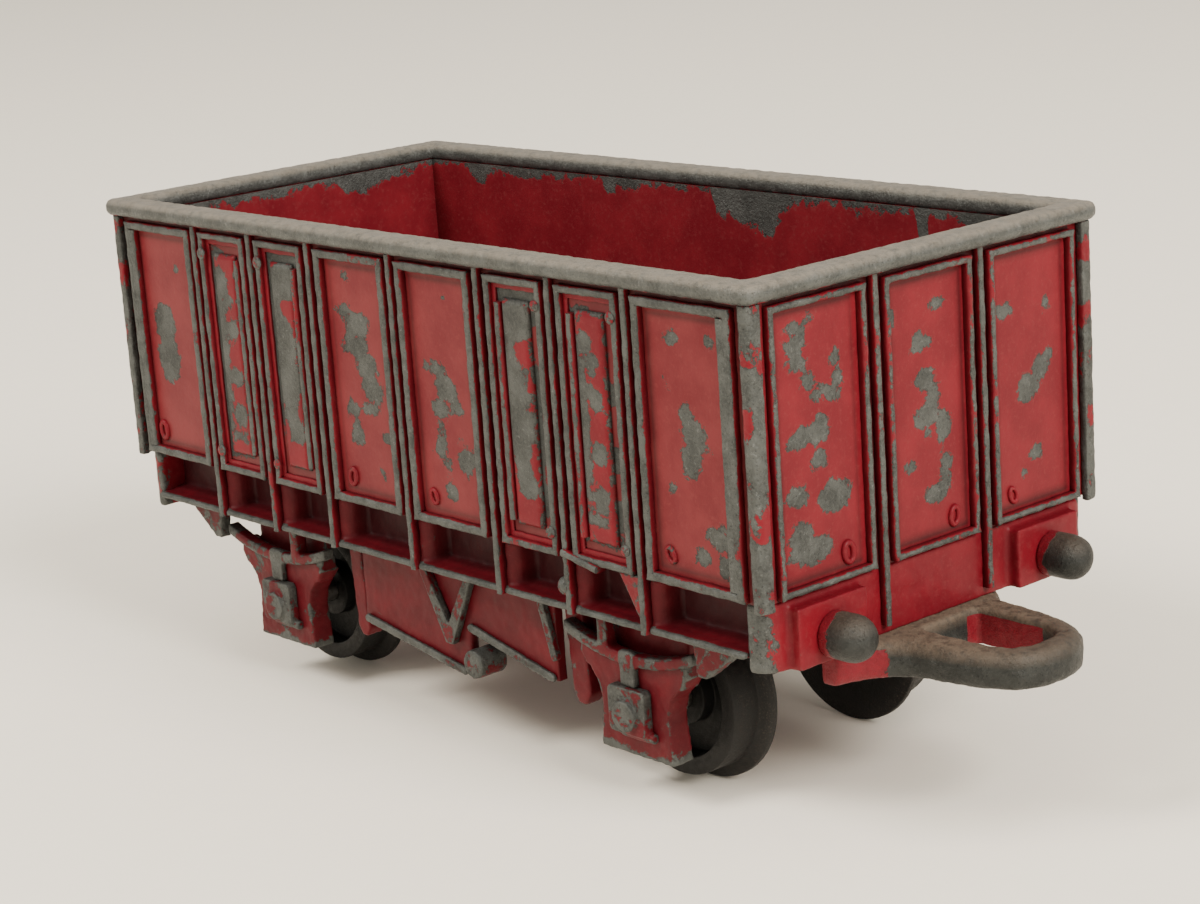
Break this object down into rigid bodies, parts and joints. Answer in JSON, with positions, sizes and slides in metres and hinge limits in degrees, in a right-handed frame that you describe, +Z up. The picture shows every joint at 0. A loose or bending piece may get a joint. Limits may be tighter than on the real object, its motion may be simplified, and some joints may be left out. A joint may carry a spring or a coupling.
{
  "type": "model mineral wagon",
  "caption": "Small die-cast model of a steel mineral wagon: an open ribbed tub on flanged wheels, with domed buffers and a cast coupling loop.",
  "frame": {"origin": "mid-wagon, on the track's centre line, at the level of the rail tops", "axes": "+X along the wagon towards the coupling loop, +Y across it, +Z up"},
  "size_m": [0.0475, 0.0186, 0.0206],
  "materials": {
    "red_enamel": "worn red enamel, chipped to the zinc at every raised edge",
    "bare_zinc": "dull grey die-cast zinc with a cast grain",
    "black_wheel": "blackened, dusty on its edges",
    "axle_steel": "plain drawn steel"
  },
  "bodies": {
    "wagon": {"axlebox_front_left": "red_enamel", "axlebox_front_right": "red_enamel", "axlebox_rear_left": "red_enamel", "axlebox_rear_right": "red_enamel", "axleguard_front_left": "red_enamel", "axleguard_front_right": "red_enamel", "axleguard_rear_left": "red_enamel", "axleguard_rear_right": "red_enamel", "base_plate": "red_enamel", "base_rivets": "bare_zinc", "brake_blocks": "red_enamel", "brake_hangers": "red_enamel", "brake_shafts": "red_enamel", "brake_skirt_left": "red_enamel", "brake_skirt_right": "red_enamel", "buffer_front_left": "bare_zinc", "buffer_front_right": "bare_zinc", "buffer_rear_left": "bare_zinc", "buffer_rear_right": "bare_zinc", "corner_posts": "bare_zinc", "coupling_loop": "bare_zinc", "coupling_peg": "bare_zinc", "door_hinge_rods": "red_enamel", "door_latches": "red_enamel", "door_leaves_left": "red_enamel", "door_leaves_right": "red_enamel", "end_panel_frames_front": "red_enamel", "end_panel_frames_rear": "red_enamel", "end_ribs_front": "red_enamel", "end_ribs_rear": "red_enamel", "end_wall_front": "red_enamel", "end_wall_rear": "red_enamel", "headstock_front": "red_enamel", "headstock_rear": "red_enamel", "leaf_spring_front_left": "red_enamel", "leaf_spring_front_right": "red_enamel", "leaf_spring_rear_left": "red_enamel", "leaf_spring_rear_right": "red_enamel", "panel_frames_left": "red_enamel", "panel_frames_right": "red_enamel", "push_rods_left": "red_enamel", "push_rods_right": "red_enamel", "side_ribs_left": "red_enamel", "side_ribs_right": "red_enamel", "side_wall_left": "red_enamel", "side_wall_right": "red_enamel", "solebar_left": "red_enamel", "solebar_right": "red_enamel", "spring_shoes": "red_enamel", "top_rim": "bare_zinc", "tub_floor": "red_enamel", "v_hanger_left": "red_enamel", "v_hanger_right": "red_enamel"},
    "front_wheelset": {"axle_front": "axle_steel", "wheel_front_right": "black_wheel", "wheel_front_left": "black_wheel"},
    "rear_wheelset": {"axle_rear": "axle_steel", "wheel_rear_right": "black_wheel", "wheel_rear_left": "black_wheel"}
  },
  "joints": [
    {"name": "front_wheels_spin", "type": "hinge", "parent": "wagon", "child": "front_wheelset", "pos_m": [0.0111, 0, 0.00305], "axis": [0, 1, 0], "continuous": true},
    {"name": "rear_wheels_spin", "type": "hinge", "parent": "wagon", "child": "rear_wheelset", "pos_m": [-0.0111, 0, 0.00305], "axis": [0, 1, 0], "continuous": true}
  ]
}
